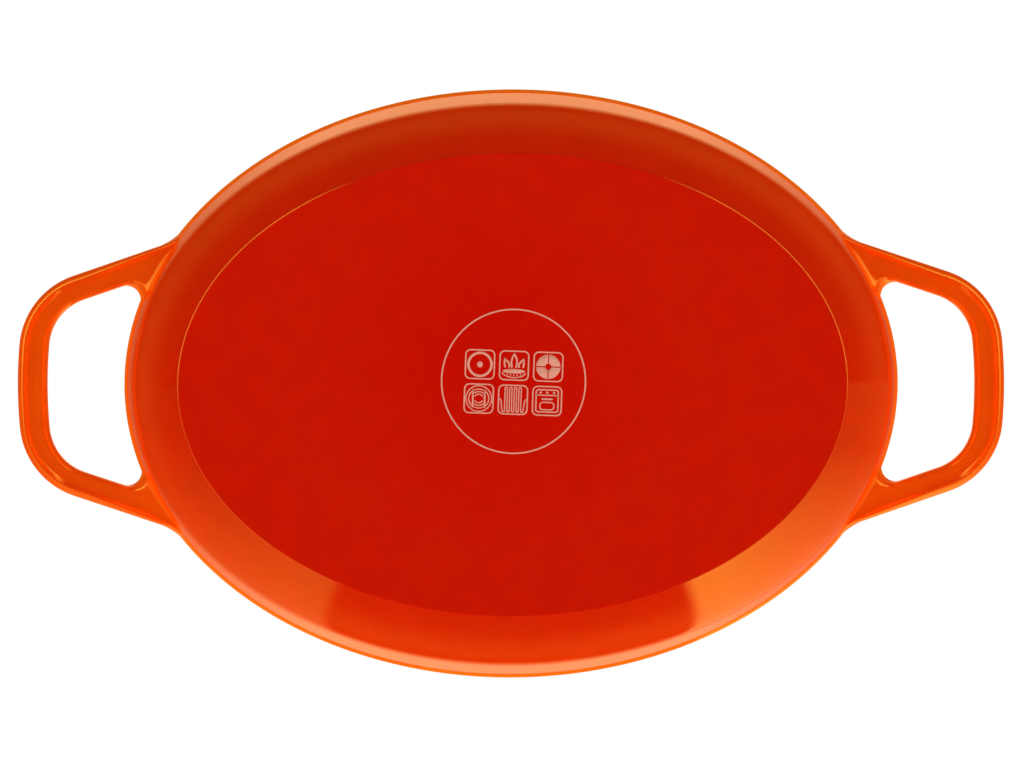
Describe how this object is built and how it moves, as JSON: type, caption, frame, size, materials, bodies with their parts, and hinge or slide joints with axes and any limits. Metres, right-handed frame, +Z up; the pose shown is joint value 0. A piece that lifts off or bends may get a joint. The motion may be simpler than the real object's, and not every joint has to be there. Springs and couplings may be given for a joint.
{
  "type": "oval dutch oven",
  "caption": "Oval cast-iron dutch oven in glossy enamel, with loop handles cast into the rim and a domed lid that lifts off by a stainless knob.",
  "frame": {"origin": "centre of the pot's flat base, on the surface that it stands on", "axes": "+X along the oval's length, through one handle; +Z up, out of the pot's mouth and through the knob"},
  "size_m": [0.419, 0.251, 0.1723],
  "materials": {
    "enamel": "glossy vitreous enamel on cast iron, red at the base and orange towards the rim, cream inside",
    "stainless": "satin polished stainless steel",
    "brass": "turned",
    "silicone": "matte",
    "plain_steel": "plain turned and stamped steel"
  },
  "bodies": {
    "pot": {"pot_body": "enamel"},
    "lid_and_knob": {"lid": "enamel", "knob_cap": "stainless", "knob_stem": "stainless", "knob_threaded_bush": "brass", "knob_gasket": "silicone", "knob_screw": "plain_steel", "flat_washer": "plain_steel", "lock_washer": "plain_steel"}
  },
  "joints": [
    {"name": "lid_lift", "type": "slide", "parent": "pot", "child": "lid_and_knob", "axis": [0, 0, 1], "range_m": [0, 0.15]}
  ]
}
